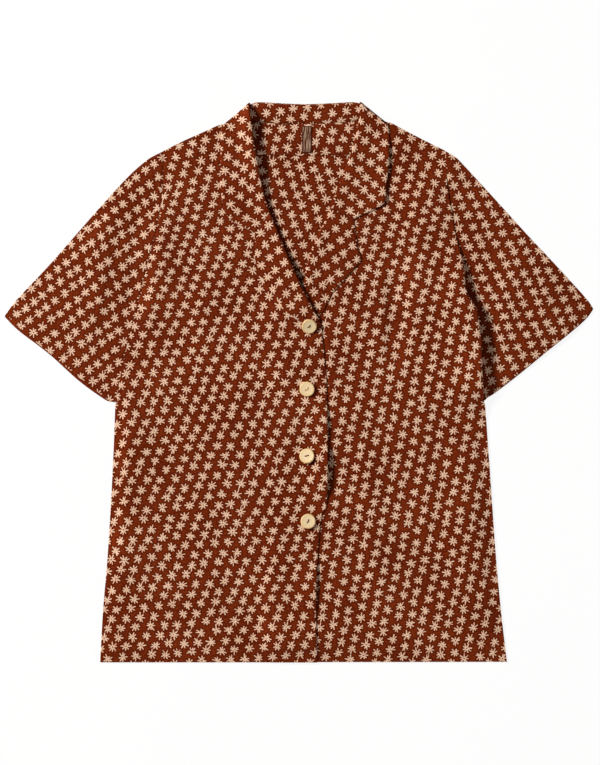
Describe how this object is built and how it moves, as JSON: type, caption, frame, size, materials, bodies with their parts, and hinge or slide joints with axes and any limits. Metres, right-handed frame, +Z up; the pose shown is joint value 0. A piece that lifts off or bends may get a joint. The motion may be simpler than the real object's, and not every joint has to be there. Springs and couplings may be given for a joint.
{
  "type": "short-sleeved button-front blouse",
  "caption": "Women's short-sleeved blouse with a notched collar and a buttoned front, laid flat on its back, in cloth with a small all-over star print.",
  "frame": {"origin": "middle of the laid-out blouse's bounding box, on the surface that it lies on", "axes": "+Z up from the surface, +Y from the hem to the collar, +X to the wearer's left"},
  "size_m": [0.7042, 0.6732, 0.0171],
  "materials": {
    "printed_cloth": "soft matt light woven cloth, rust brown with a small cream star print",
    "woven_label": "close matt woven tape, dark rust, bare",
    "pale_horn": "satin pale horn-like plastic with a slight yellow rim"
  },
  "bodies": {
    "root": {"back": "printed_cloth", "back_neck_facing": "printed_cloth", "front_right": "printed_cloth", "front_left": "printed_cloth", "sleeve_right": "printed_cloth", "sleeve_left": "printed_cloth", "collar": "printed_cloth", "lapel_right": "printed_cloth", "lapel_left": "printed_cloth", "neck_label": "woven_label", "button_1": "pale_horn", "button_2": "pale_horn", "button_3": "pale_horn", "button_4": "pale_horn"}
  },
  "joints": []
}
